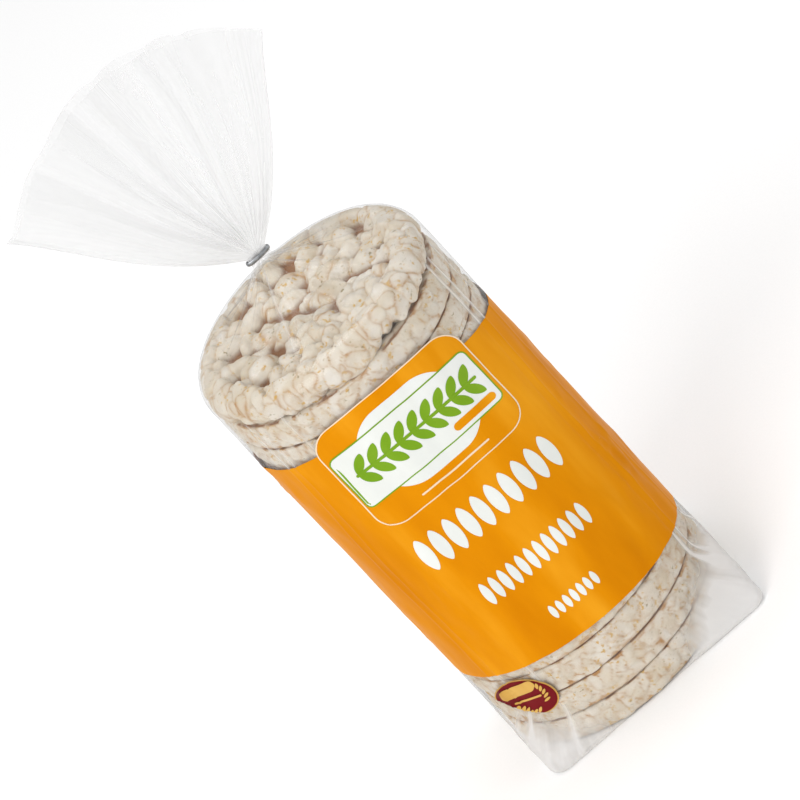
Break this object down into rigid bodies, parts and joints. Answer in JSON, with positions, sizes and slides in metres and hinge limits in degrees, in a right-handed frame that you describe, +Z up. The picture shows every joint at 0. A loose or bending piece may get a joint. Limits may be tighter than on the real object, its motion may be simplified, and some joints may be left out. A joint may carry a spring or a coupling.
{
  "type": "rice cake bag",
  "caption": "Sealed clear film bag holding an upright stack of round puffed rice cakes, with a plain orange printed band, gathered at the top by a metal clip under a pleated fan of spare film.",
  "frame": {"origin": "centre of the bag's flat square bottom", "axes": "+Z up along the stack towards the clip and the fan, +Y towards the back, so the printed front faces -Y, +X to the viewer's right"},
  "size_m": [0.1218, 0.1094, 0.3196],
  "materials": {
    "film": "clear gloss film over pale cakes, with an orange printed band",
    "clip_metal": "satin grey",
    "rice_cake": "matt puffed grain, pale with browner clefts and small bran flecks",
    "print_orange": "gloss orange ink on film",
    "print_white": "gloss white ink on film",
    "print_green": "gloss green ink on film",
    "print_maroon": "gloss dark red ink on film",
    "print_gold": "gloss dull gold ink on film"
  },
  "bodies": {
    "root": {"bag": "film", "clip": "clip_metal"}
  },
  "joints": []
}
